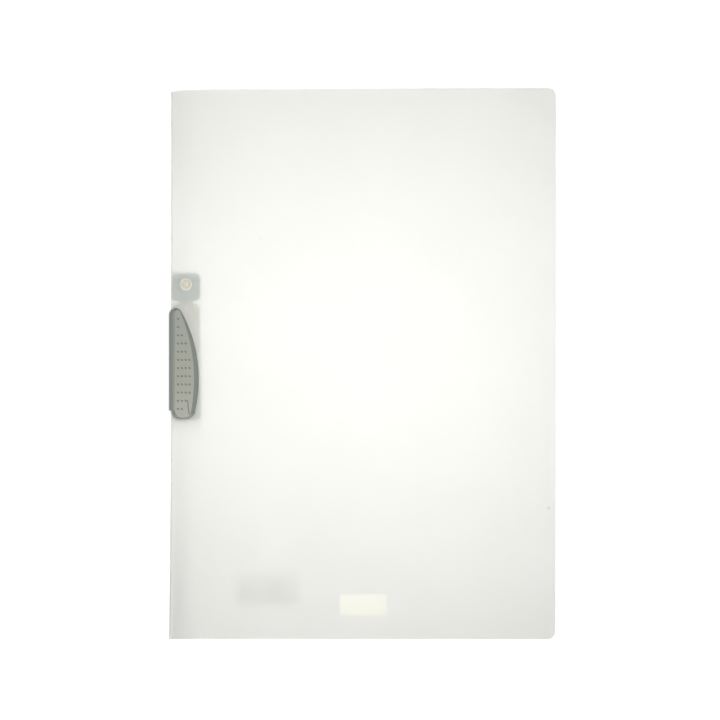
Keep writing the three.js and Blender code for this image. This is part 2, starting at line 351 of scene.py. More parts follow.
def jaw_outline(shoulder, flank):
    """Points of the D outline at one level: shoulder and flank run from 0, outside, to 1, the face."""
    left = JAW_LEFT + SHOULDER * shoulder
    head = JAW_HEAD - FLANK_TIP * flank
    reach = JAW_REACH - FLANK_BELLY * flank
    foot = JAW_FOOT + FLANK_FOOT * flank
    tip = TIP_RADIUS - FLANK_TIP * flank / 2 - SHOULDER * shoulder / 2
    foot_left = FACE_LEFT_FOOT + SHOULDER * shoulder / 2
    wide, long = reach - left - tip, head - tip - BELLY
    upper = (wide ** 2 + long ** 2 - tip ** 2) / (2 * (wide - tip))
    tangent = atan2(long, left + tip - reach + upper)
    lower, corner = LOWER_BELLY + FACE_FULLER * flank, FOOT_RADIUS - flank
    rise = BELLY - foot - corner
    inset = sqrt((lower - corner) ** 2 - rise ** 2)
    foot_x = reach - lower + inset
    foot_turn = -atan2(rise, inset)
    points = []

    def arc(cx, cy, radius, start, end, steps):
        for i in range(steps + 1):
            turn = start + (end - start) * i / steps
            points.append((cx + radius * cos(turn), cy + radius * sin(turn)))

    arc(foot_x, foot + corner, corner, -pi / 2, foot_turn, 10)
    arc(reach - lower, BELLY, lower, foot_turn, 0, 14)
    arc(reach - upper, BELLY, upper, 0, tangent, 24)
    arc(left + tip, head - tip, tip, tangent, pi, 16)
    points.extend((left, head - tip - (head - tip - WEB_FOOT) * i / 20) for i in range(1, 21))
    rounding = WEB_FOOT - foot - FOOT_BELOW_WEB
    arc(foot_left + rounding, foot + rounding, rounding, pi, 1.5 * pi, 10)
    kept = [points[0]]
    for point in points[1:]:
        if abs(point[0] - kept[-1][0]) + abs(point[1] - kept[-1][1]) > 1e-4:
            kept.append(point)
    return kept


def loft(name, rings):
    """Closed mesh through rings of equally many points, with both ends capped."""
    work = bmesh.new()
    made = [[work.verts.new(frame_point(*point)) for point in ring] for ring in rings]
    count = len(rings[0])
    for lower, upper in zip(made, made[1:]):
        for i in range(count):
            j = (i + 1) % count
            work.faces.new((lower[i], lower[j], upper[j], upper[i]))
    work.faces.new(list(reversed(made[0])))
    work.faces.new(made[-1])
    bmesh.ops.recalc_face_normals(work, faces=work.faces)
    mesh = bpy.data.meshes.new(name)
    work.to_mesh(mesh)
    work.free()
    return mesh


def inset_ring(ring, distance, z):
    """Ring moved inwards by a distance, along the outline's own normals."""
    count = len(ring)
    moved = []
    for i, (x, y, _) in enumerate(ring):
        before, after = ring[i - 1], ring[(i + 1) % count]
        along = Vector((after[0] - before[0], after[1] - before[1])).normalized()
        moved.append((x - along.y * distance, y + along.x * distance, z))
    return moved


def jaw_mesh():
    """Jaw: thin lip, sloping flank on the belly side, round shoulder over the spine, flat face."""
    def ring(shoulder, flank, z):
        return [(x, y, z) for x, y in jaw_outline(shoulder, flank)]

    outer = ring(0, 0, JAW_UNDER)
    rings = [inset_ring(outer, LIP_EDGE, JAW_UNDER)]
    for i in (1, 2, 3):
        turn = pi / 2 * i / 3
        level = JAW_UNDER + LIP_EDGE * (1 - cos(turn))
        rings.append(inset_ring(outer, LIP_EDGE * (1 - sin(turn)), level))
    lip_level = JAW_UNDER + LIP
    rise = JAW_TOP - lip_level
    for i in range(11):
        turn = pi / 2 * i / 10
        height = sin(turn)
        flank = height - FLANK_HOLLOW * sin(pi * height)
        shoulder = SHOULDER_LEAN * height + (1 - SHOULDER_LEAN) * height ** SHOULDER_CURVE
        rings.append(ring(shoulder, flank, lip_level + rise * height))
    rings.append(inset_ring(rings[-1], FACE_EDGE, JAW_TOP))
    return loft("jaw", rings)


def slab_rings(outline, bottom, top, edge):
    """Rings of a slab with rounded edges all round."""
    flat = [(x, y, 0) for x, y in outline]
    rings = []
    for i in range(4):
        turn = pi / 2 * i / 3
        rings.append(inset_ring(flat, edge * (1 - sin(turn)), bottom + edge * (1 - cos(turn))))
    for i in range(4):
        turn = pi / 2 * i / 3
        rings.append(inset_ring(flat, edge * (1 - cos(turn)), top - edge * (1 - sin(turn))))
    return rings


def rounded_outline(left, foot, right, head, spine_radius, free_radius, steps=8):
    """Rectangle with one radius on its spine corners and another on its free corners."""
    points = []
    corners = (
        (right - free_radius, foot + free_radius, free_radius, -pi / 2),
        (right - free_radius, head - free_radius, free_radius, 0),
        (left + spine_radius, head - spine_radius, spine_radius, pi / 2),
        (left + spine_radius, foot + spine_radius, spine_radius, pi),
    )
    for cx, cy, radius, start in corners:
        for i in range(steps + 1):
            turn = start + pi / 2 * i / steps
            points.append((cx + radius * cos(turn), cy + radius * sin(turn)))
    return points


def pivot_circle(radius, steps=64):
    turns = [2 * pi * i / steps for i in range(steps)]
    return [(PIVOT_X + radius * cos(turn), PIVOT_Y + radius * sin(turn)) for turn in turns]


def leg_outline():
    """Leg, whose free edge leans in towards its head."""
    plain = rounded_outline(
        FACE_LEFT_FOOT, LEG_FOOT, LEG_REACH, LEG_HEAD, LEG_SPINE_CORNER, LEG_FREE_CORNER,
    )
    middle = (LEG_FOOT + LEG_HEAD) / 2
    outline = []
    for x, y in plain:
        share = smooth((y - middle) / (LEG_HEAD - middle)) if x > PIVOT_X else 0
        outline.append((x - LEG_LEAN * share, y))
    return outline


def joined(base, other, operation):
    """base united with, or cut by, another closed mesh."""
    keep = bpy.data.objects.new("keep", base)
    tool = bpy.data.objects.new("tool", other)
    for made in (keep, tool):
        bpy.context.scene.collection.objects.link(made)
    step = keep.modifiers.new("join", "BOOLEAN")
    step.operation = operation
    step.solver = "EXACT"
    step.object = tool
    bpy.context.view_layer.update()
    result = bpy.data.meshes.new_from_object(keep.evaluated_get(bpy.context.evaluated_depsgraph_get()))
    bpy.data.objects.remove(keep)
    bpy.data.objects.remove(tool)
    return result


# Grip nubs on the jaw's face
NUB_ROWS = 12
NUB_COLUMNS = 4
NUB_RADIUS = 0.62
NUB_PROUD = 0.3
NUB_SLANT = radians(-38)
NUB_STRETCH = (1.3, 0.85, 1.0)
NUB_ROW_PITCH = 4.58
NUB_COLUMN_PITCH = 2.14
NUB_FIRST_ROW = JAW_HEAD - 56.55
NUB_FIRST_COLUMN = 4.33
NUB_REACH = JAW_REACH - 3.8
NUB_UPPER_RADIUS = 82.0
NUB_LOWER_RADIUS = 45.0


def nub_tree():
    """Geometry Nodes: a grid of points, kept as far as the face's edge, with a dome on each."""
    tree = bpy.data.node_groups.new("grip_nubs", "GeometryNodeTree")
    face = tree.interface
    sizes = ("Rows", "Columns", "Row Pitch", "Column Pitch", "Radius", "Reach", "Belly",
             "Upper Radius", "Lower Radius", "First Row", "First Column", "Level")
    for name in sizes:
        kind = "NodeSocketInt" if name in ("Rows", "Columns") else "NodeSocketFloat"
        face.new_socket(name, in_out="INPUT", socket_type=kind)
    face.new_socket("Material", in_out="INPUT", socket_type="NodeSocketMaterial")
    face.new_socket("Geometry", in_out="OUTPUT", socket_type="NodeSocketGeometry")
    given = node(tree, "NodeGroupInput").outputs

    gaps = node(tree, "ShaderNodeMath", {0: given["Columns"], 1: 1.0}, operation="SUBTRACT")
    wide = node(tree, "ShaderNodeMath", {
        0: gaps.outputs[0], 1: given["Column Pitch"],
    }, operation="MULTIPLY").outputs[0]
    gaps = node(tree, "ShaderNodeMath", {0: given["Rows"], 1: 1.0}, operation="SUBTRACT")
    long = node(tree, "ShaderNodeMath", {
        0: gaps.outputs[0], 1: given["Row Pitch"],
    }, operation="MULTIPLY").outputs[0]
    grid = node(tree, "GeometryNodeMeshGrid", {
        "Size X": wide, "Size Y": long,
        "Vertices X": given["Columns"], "Vertices Y": given["Rows"],
    })
    middle_x = node(tree, "ShaderNodeMath", {
        0: wide, 1: 0.5, 2: given["First Column"],
    }, operation="MULTIPLY_ADD")
    middle_y = node(tree, "ShaderNodeMath", {
        0: long, 1: 0.5, 2: given["First Row"],
    }, operation="MULTIPLY_ADD")
    middle = node(tree, "ShaderNodeCombineXYZ", {
        "X": middle_x.outputs[0], "Y": middle_y.outputs[0], "Z": given["Level"],
    })
    placed = node(tree, "GeometryNodeTransform", {
        "Geometry": grid.outputs["Mesh"], "Translation": middle.outputs[0],
    })

    position = node(tree, "GeometryNodeInputPosition")
    place = node(tree, "ShaderNodeSeparateXYZ", {0: position.outputs[0]}).outputs
    rise = node(tree, "ShaderNodeMath", {
        0: place["Y"], 1: given["Belly"],
    }, operation="SUBTRACT").outputs[0]
    above = node(tree, "ShaderNodeMath", {0: rise, 1: 0.0}, operation="GREATER_THAN")
    radius = node(tree, "ShaderNodeMix", {
        0: above.outputs[0], 2: given["Lower Radius"], 3: given["Upper Radius"],
    }).outputs[0]
    radius_squared = node(tree, "ShaderNodeMath", {0: radius, 1: radius}, operation="MULTIPLY")
    rise_squared = node(tree, "ShaderNodeMath", {0: rise, 1: rise}, operation="MULTIPLY")
    square = node(tree, "ShaderNodeMath", {
        0: radius_squared.outputs[0], 1: rise_squared.outputs[0],
    }, operation="SUBTRACT")
    half_chord = node(tree, "ShaderNodeMath", {0: square.outputs[0]}, operation="SQRT")
    drawn_in = node(tree, "ShaderNodeMath", {0: radius, 1: half_chord.outputs[0]}, operation="SUBTRACT")
    edge = node(tree, "ShaderNodeMath", {
        0: given["Reach"], 1: drawn_in.outputs[0],
    }, operation="SUBTRACT")
    beyond = node(tree, "ShaderNodeMath", {
        0: place["X"], 1: edge.outputs[0],
    }, operation="GREATER_THAN").outputs[0]
    kept = node(tree, "GeometryNodeDeleteGeometry", {
        "Geometry": placed.outputs[0], "Selection": beyond,
    }, domain="POINT")
    dome = node(tree, "GeometryNodeMeshUVSphere", {
        "Segments": 16, "Rings": 10, "Radius": given["Radius"],
    })
    domes = node(tree, "GeometryNodeInstanceOnPoints", {
        "Points": kept.outputs[0], "Instance": dome.outputs["Mesh"],
        "Rotation": (0.0, 0.0, NUB_SLANT), "Scale": NUB_STRETCH,
    })
    real = node(tree, "GeometryNodeRealizeInstances", {0: domes.outputs[0]})
    finished = node(tree, "GeometryNodeSetMaterial", {
        "Geometry": real.outputs[0], "Material": given["Material"],
    })
    node(tree, "NodeGroupOutput", {0: finished.outputs[0]})
    return tree


def nub_mesh(material):
    carrier = bpy.data.objects.new("nubs", bpy.data.meshes.new("nubs"))
    bpy.context.scene.collection.objects.link(carrier)
    step = carrier.modifiers.new("nubs", "NODES")
    step.node_group = nub_tree()
    level = JAW_TOP + NUB_PROUD - NUB_RADIUS
    sizes = {
        "Rows": NUB_ROWS, "Columns": NUB_COLUMNS, "Material": material,
        "Row Pitch": NUB_ROW_PITCH * MM, "Column Pitch": NUB_COLUMN_PITCH * MM,
        "Radius": NUB_RADIUS * MM, "Reach": (NUB_REACH + SPINE_X) * MM,
        "Belly": (BELLY + FOOT_Y) * MM, "Upper Radius": NUB_UPPER_RADIUS * MM,
        "Lower Radius": NUB_LOWER_RADIUS * MM, "First Row": (NUB_FIRST_ROW + FOOT_Y) * MM,
        "First Column": (NUB_FIRST_COLUMN + SPINE_X) * MM, "Level": level * MM,
    }
    for item in step.node_group.interface.items_tree:
        if item.name in sizes:
            step[item.identifier] = sizes[item.name]
    bpy.context.view_layer.update()
    mesh = bpy.data.meshes.new_from_object(carrier.evaluated_get(bpy.context.evaluated_depsgraph_get()))
    bpy.data.objects.remove(carrier)
    return mesh


# Groove on the jaw's face, from the last long row of nubs to the foot: its points and its cutter
GROOVE_LINE = (
    (9.25, 134.4), (9.35, 132.6), (9.5, 130.8), (9.7, 129.0), (10.0, 127.4), (10.4, 126.0), (10.9, 124.8),
)
GROOVE_HALF = 0.3
GROOVE_DEPTH = 0.19
CUTTER_WIDER = 1.5


def groove_mesh():
    """Cutter of the shallow V groove, which starts above the face and is wider there."""
    top = JAW_TOP + GROOVE_DEPTH / 2
    rings = []
    for i, (x, y) in enumerate(GROOVE_LINE):
        before, after = GROOVE_LINE[max(i - 1, 0)], GROOVE_LINE[min(i + 1, len(GROOVE_LINE) - 1)]
        along = Vector((after[0] - before[0], after[1] - before[1])).normalized()
        side = Vector((-along.y, along.x)) * GROOVE_HALF * CUTTER_WIDER
        rings.append([
            (x - side.x, y - side.y, top), (x + side.x, y + side.y, top), (x, y, JAW_TOP - GROOVE_DEPTH),
        ])
    return loft("groove", rings)


def make_clip(material):
    """Leg, neck, eye, web and jaw of one moulding, with the nubs on its face."""
    mesh = loft("swing_clip", slab_rings(leg_outline(), 0.0, LEG_TOP, LEG_EDGE))
    neck_left, neck_right = PIVOT_X - NECK_HALF, PIVOT_X + NECK_HALF
    neck = rounded_outline(neck_left, LEG_HEAD - NECK_OVERLAP, neck_right, PIVOT_Y, 0.5, 0.5)
    sole = rounded_outline(JAW_LEFT + SOLE_INSET, WEB_FOOT, SOLE_REACH, WEB_HEAD, 0.5, 0.5)
    web_left, web_right = JAW_LEFT + WEB_INSET, JAW_LEFT + WEB_THICKNESS
    web = rounded_outline(web_left, WEB_FOOT, web_right, WEB_HEAD, 0.4, 0.15)
    added = (
        slab_rings(neck, 0.0, LEG_TOP, LEG_EDGE),
        slab_rings(pivot_circle(EYE_RADIUS), 0.0, LEG_TOP, LEG_EDGE),
        slab_rings(sole, 0.0, LEG_TOP, LEG_EDGE),
        slab_rings(web, LEG_EDGE, JAW_UNDER + LIP, 0.1),
    )
    for rings in added:
        mesh = joined(mesh, loft("part", rings), "UNION")
    mesh = joined(mesh, jaw_mesh(), "UNION")
    mesh = joined(mesh, groove_mesh(), "DIFFERENCE")
    mesh = joined(mesh, nub_mesh(material), "UNION")
    hole = slab_rings(pivot_circle(EYE_HOLE), -1.0, 3.0, 0.1)
    bore = slab_rings(pivot_circle(TAIL_BORE), -1.0, TAIL_BORE_TOP, 0.1)
    for rings in (hole, bore):
        mesh = joined(mesh, loft("cut", rings), "DIFFERENCE")
    shaded(mesh, 32)
    return new_piece("smoke_swing_clip", mesh, material)


def make_tongue(material):
    """Thin see-through tongue on the leg's foot, just inside the leg's sides and top."""
    left, right = FACE_LEFT_FOOT + TONGUE_INSET, LEG_REACH - TONGUE_INSET
    outline = rounded_outline(left, LEG_FOOT - TONGUE, right, LEG_FOOT + 1, 1.0, 1.0)
    top = LEG_TOP - TONGUE_BELOW_LEG
    mesh = loft("tongue", slab_rings(outline, top - TONGUE_THICKNESS, top, 0.15))
    shaded(mesh)
    return new_piece("thin_leg_tongue", mesh, material)


# Plate, shorter at the head than its solid, with a raised collar round the rivet's head
PLATE_WIDER = 0.25
PLATE_SHORTER = 1.0
PLATE_SPINE_CORNER = 1.4
PLATE_FREE_CORNER = 2.8
PLATE_EDGE = 0.25
PLATE_HOLE = 2.12
COLLAR_RADIUS = 4.3
COLLAR_WALL = 0.35
COLLAR_HEIGHT = 1.25


def make_plate(material):
    left, right = plate_low.x - SPINE_X - PLATE_WIDER, plate_high.x - SPINE_X
    foot, head = plate_low.y - FOOT_Y, plate_high.y - FOOT_Y - PLATE_SHORTER
    outline = rounded_outline(left, foot, right, head, PLATE_SPINE_CORNER, PLATE_FREE_CORNER)
    top = plate_high.z
    mesh = loft("plate", slab_rings(outline, plate_low.z, top, PLATE_EDGE))
    hole = slab_rings(pivot_circle(PLATE_HOLE), plate_low.z - 1, top + 1, 0.1)
    collar = slab_rings(pivot_circle(COLLAR_RADIUS), top - 0.4, top + COLLAR_HEIGHT, 0.12)
    inside = slab_rings(pivot_circle(COLLAR_RADIUS - COLLAR_WALL), top, top + 3, 0.05)
    mesh = joined(mesh, loft("collar", collar), "UNION")
    mesh = joined(mesh, loft("inside", inside), "DIFFERENCE")
    mesh = joined(mesh, loft("hole", hole), "DIFFERENCE")
    shaded(mesh)
    return new_piece("square_pivot_plate", mesh, material)


# Rivet, whose crown comes up to the film, so that its rings show through
RIVET_CROWN = 0.45
RIVET_RECESS = 0.8
RIVET_DOME = 1.75
DOME_RISE = 0.95
RIM_HALF = 0.65
RIM_ROUND = 0.15
SHANK_RADIUS = 2.0
TAIL_RADIUS = 3.1
TAIL_THICKNESS = 0.6


def make_rivet(material):
    """Turned profile of the rivet, swept once round its axis: tail, shank, rim, recess and dome."""
    head_top, tail = rivet_high.z + RIVET_CROWN, rivet_low.z
    radius = (rivet_high.x - rivet_low.x) / 2
    head_under = plate_high.z + 0.1
    tail_top = tail + TAIL_THICKNESS
    recess = head_top - RIVET_RECESS
    profile = [(TAIL_RADIUS - RIM_ROUND, tail), (TAIL_RADIUS, tail + RIM_ROUND), (TAIL_RADIUS, tail_top)]
    profile += [(SHANK_RADIUS, tail_top), (SHANK_RADIUS, head_under), (radius - 0.1, head_under)]
    for i in range(7):
        turn = pi * i / 6
        level = head_top - RIM_ROUND + RIM_ROUND * sin(turn)
        profile.append((radius - RIM_HALF + RIM_HALF * cos(turn), level))
    recess_radius = radius - 2 * RIM_HALF
    profile += [(recess_radius - 0.05, recess + 0.05), (recess_radius - 0.1, recess)]
    profile.append((RIVET_DOME + 0.1, recess))
    for i in range(1, 8):
        turn = pi / 2 * i / 8
        rise = DOME_RISE * RIVET_RECESS * sin(turn)
        profile.append((RIVET_DOME * cos(turn), recess + rise))
    rings = [[(x, y, z) for x, y in pivot_circle(r, 72)] for r, z in profile]
    mesh = loft("rivet", rings)
    shaded(mesh, 50)
    return new_piece("cream_rivet", mesh, material)


# Materials

# Sockets of a Mix node that is set to colours: its share, its two colours and its result
SHARE, FIRST, SECOND, MIXED = 0, 6, 7, 2


def new_material(name):
    material = bpy.data.materials.new(name)
    material.use_nodes = True
    tree = material.node_tree
    tree.nodes.clear()
    return material, tree


def patch_mask(tree, place, centre, size, corner, softness):
    """1 inside a rounded rectangle on the folder's plan, given in millimetres, and 0 outside."""
    middle = (centre[0] + SPINE_X) * MM, (centre[1] + FOOT_Y) * MM, 0.0
    half = ((size[0] / 2 - corner) * MM, (size[1] / 2 - corner) * MM, 1.0)
    apart = node(tree, "ShaderNodeVectorMath", {0: place, 1: middle}, operation="SUBTRACT")
    away = node(tree, "ShaderNodeVectorMath", {0: apart.outputs[0]}, operation="ABSOLUTE")
    over = node(tree, "ShaderNodeVectorMath", {0: away.outputs[0], 1: half}, operation="SUBTRACT")
    past = node(tree, "ShaderNodeVectorMath", {
        0: over.outputs[0], 1: (0.0, 0.0, 0.0),
    }, operation="MAXIMUM")
    length = node(tree, "ShaderNodeVectorMath", {
        0: past.outputs[0],
    }, operation="LENGTH").outputs["Value"]
    return node(tree, "ShaderNodeMapRange", {
        "Value": length, "From Min": (corner - softness) * MM, "From Max": (corner + softness) * MM,
        "To Min": 1.0, "To Max": 0.0,
    }, interpolation_type="SMOOTHSTEP").outputs[0]


# Film: how rough and clear it is, its patterns, its worn fold, and the painted shade along the spine
FILM_ROUGHNESS = 0.55
FILM_CLEAR = 0.84
FILM_IOR = 1.49
FILM_TINT = ("#F7F7F4", "#FBFBF9")
CLOUD_SIZE = 45
FROST_GRAIN = 0.9
FOLD_CLEAR = 0.3
FOLD_FROM = 0.5
FOLD_TO = 1.0
# Painted shade by the spine: how dark at the foot and at the head, and where it fades out
SPINE_SHADE_FOOT = 0.08
SPINE_SHADE_HEAD = 0.03
SPINE_SHADE_FROM = 3
SPINE_SHADE_TO = 16
SPINE_SHADE_HEIGHT = 120


def painted_spine_shade(tree, place):
    """Painted shade along the spine fold: the film's colour is darkened near the spine, most of all near the
    foot.
    """
    at = node(tree, "ShaderNodeSeparateXYZ", {0: place}).outputs
    near = node(tree, "ShaderNodeMapRange", {
        "Value": at["X"], "From Min": (SPINE_X + SPINE_SHADE_FROM) * MM, "From Max": (SPINE_X + SPINE_SHADE_TO) * MM,
        "To Min": 1.0, "To Max": 0.0,
    }, interpolation_type="SMOOTHSTEP").outputs[0]
    depth = node(tree, "ShaderNodeMapRange", {
        "Value": at["Y"], "From Min": FOOT_Y * MM, "From Max": (FOOT_Y + SPINE_SHADE_HEIGHT) * MM,
        "To Min": SPINE_SHADE_FOOT, "To Max": SPINE_SHADE_HEAD,
    }, interpolation_type="SMOOTHSTEP").outputs[0]
    share = node(tree, "ShaderNodeMath", {0: near, 1: depth}, operation="MULTIPLY").outputs[0]
    return node(tree, "ShaderNodeMix", {
        SHARE: share, FIRST: linear("#FFFFFF"), SECOND: linear("#000000"),
    }, data_type="RGBA").outputs[MIXED]


def film_material(name, tint, marks):
    """Polypropylene film, run through matt rollers: milky and even, it blurs what lies under it.

    The real frost is too fine to show in the render, so its grain is drawn coarser, at FROST_GRAIN.
    The worn fold at the spine lets some light straight through, which gives a pale, soft edge.
    """
    material, tree = new_material(name)
    place = node(tree, "ShaderNodeTexCoord").outputs["Object"]
    cloud = node(tree, "ShaderNodeTexNoise", {"Vector": place, "Scale": 1 / (CLOUD_SIZE * MM), "Detail": 3.0})
    colour = node(tree, "ShaderNodeMix", {
        SHARE: cloud.outputs["Fac"], FIRST: linear(tint[0]), SECOND: linear(tint[1]),
    }, data_type="RGBA").outputs[MIXED]
    colour, clear = marks(tree, place, colour)
    # Painted shade: the film's colour is multiplied darker near the spine, most of all near the foot.
    colour = node(tree, "ShaderNodeMix", {
        SHARE: 1.0, FIRST: colour, SECOND: painted_spine_shade(tree, place),
    }, data_type="RGBA", blend_type="MULTIPLY").outputs[MIXED]
    frost = node(tree, "ShaderNodeTexNoise", {
        "Vector": place, "Scale": 1 / (FROST_GRAIN * MM), "Detail": 2.0,
    })
    rough = node(tree, "ShaderNodeMapRange", {
        "Value": frost.outputs["Fac"], "To Min": FILM_ROUGHNESS - 0.05, "To Max": FILM_ROUGHNESS + 0.05,
    })
    bump = node(tree, "ShaderNodeBump", {
        "Height": frost.outputs["Fac"], "Strength": 0.12, "Distance": 0.05 * MM,
    })
    from_spine = node(tree, "ShaderNodeSeparateXYZ", {0: place}).outputs["X"]
    fold = node(tree, "ShaderNodeMapRange", {
        "Value": from_spine, "From Min": (SPINE_X + FOLD_FROM) * MM, "From Max": (SPINE_X + FOLD_TO) * MM,
        "To Min": FOLD_CLEAR, "To Max": 0.0,
    }, interpolation_type="SMOOTHSTEP").outputs[0]
    shader = node(tree, "ShaderNodeBsdfPrincipled", {
        "Base Color": colour, "Roughness": rough.outputs[0], "IOR": FILM_IOR,
        "Transmission Weight": clear, "Normal": bump.outputs[0],
    })
    path = node(tree, "ShaderNodeLightPath").outputs
    passes = node(tree, "ShaderNodeMath", {
        0: path["Is Shadow Ray"], 1: path["Is Diffuse Ray"],
    }, operation="MAXIMUM").outputs[0]
    passes = node(tree, "ShaderNodeMath", {0: passes, 1: fold}, operation="MAXIMUM").outputs[0]
    through = node(tree, "ShaderNodeBsdfTransparent", {"Color": linear("#FBFBFB")})
    surface = node(tree, "ShaderNodeMixShader", {
        0: passes, 1: shader.outputs[0], 2: through.outputs[0],
    })
    node(tree, "ShaderNodeOutputMaterial", {"Surface": surface.outputs[0]})
    return material


def plain_marks(tree, place, colour):
    """No marks, but clearer than the covers."""
    even = node(tree, "ShaderNodeTexNoise", {"Vector": place, "Scale": 1 / (12 * MM)})
    clear = node(tree, "ShaderNodeMapRange", {
        "Value": even.outputs["Fac"], "To Min": FILM_CLEAR + 0.06, "To Max": FILM_CLEAR + 0.1,
    })
    return colour, clear.outputs[0]


# Marks, each with its middle, its size, its corner radius and its softness in millimetres
IVORY_FIELD = ((108.0, 19.5), (26.0, 11.8), 1.2, 0.12)
DARK_SPECK = ((212.15, 73.75), (1.5, 1.5), 0.6, 0.5)
FAINT_SPECK = ((50.75, 224.9), (1.7, 2.4), 0.8, 0.7)
GREY_SMUDGE = ((54.0, 28.0), (34.0, 17.0), 5.0, 4.5)


def front_marks(tree, place, colour):
    """A plain ivory printed field near the foot, and a dark and a faint speck caught in the film."""
    field = patch_mask(tree, place, *IVORY_FIELD)
    speck = patch_mask(tree, place, *DARK_SPECK)
    faint_speck = patch_mask(tree, place, *FAINT_SPECK)
    colour = node(tree, "ShaderNodeMix", {
        SHARE: field, FIRST: colour, SECOND: linear("#FFFFF6"),
    }, data_type="RGBA").outputs[MIXED]
    colour = node(tree, "ShaderNodeMix", {
        SHARE: speck, FIRST: colour, SECOND: linear("#D8D9D4"),
    }, data_type="RGBA").outputs[MIXED]
    colour = node(tree, "ShaderNodeMix", {
        SHARE: faint_speck, FIRST: colour, SECOND: linear("#EEEFEB"),
    }, data_type="RGBA").outputs[MIXED]
    clear = node(tree, "ShaderNodeMapRange", {
        "Value": field, "To Min": FILM_CLEAR, "To Max": FILM_CLEAR + 0.13,
    })
    return colour, clear.outputs[0]


def back_marks(tree, place, colour):
    """A faint grey smudge on the back cover, left of the middle near the foot."""
    smudge = patch_mask(tree, place, *GREY_SMUDGE)
    uneven = node(tree, "ShaderNodeTexNoise", {"Vector": place, "Scale": 1 / (9 * MM), "Detail": 2.0})
    share = node(tree, "ShaderNodeMath", {0: smudge, 1: uneven.outputs["Fac"]}, operation="MULTIPLY")
    colour = node(tree, "ShaderNodeMix", {
        SHARE: share.outputs[0], FIRST: colour, SECOND: linear("#DCDDD9"),
    }, data_type="RGBA").outputs[MIXED]
    clear = node(tree, "ShaderNodeMapRange", {
        "Value": share.outputs[0], "To Min": FILM_CLEAR, "To Max": FILM_CLEAR - 0.09,
    })
    return colour, clear.outputs[0]


# Clip: how upright a face is where the polished sloping faces, which carry painted shade, end and where the
# matt face starts
SLOPE_UPRIGHT = 0.84
FACE_UPRIGHT = 0.97
SPINE_SIDE = 2.6
MOTTLE_SIZE = 1.1
SPARK_GRAIN = 0.35


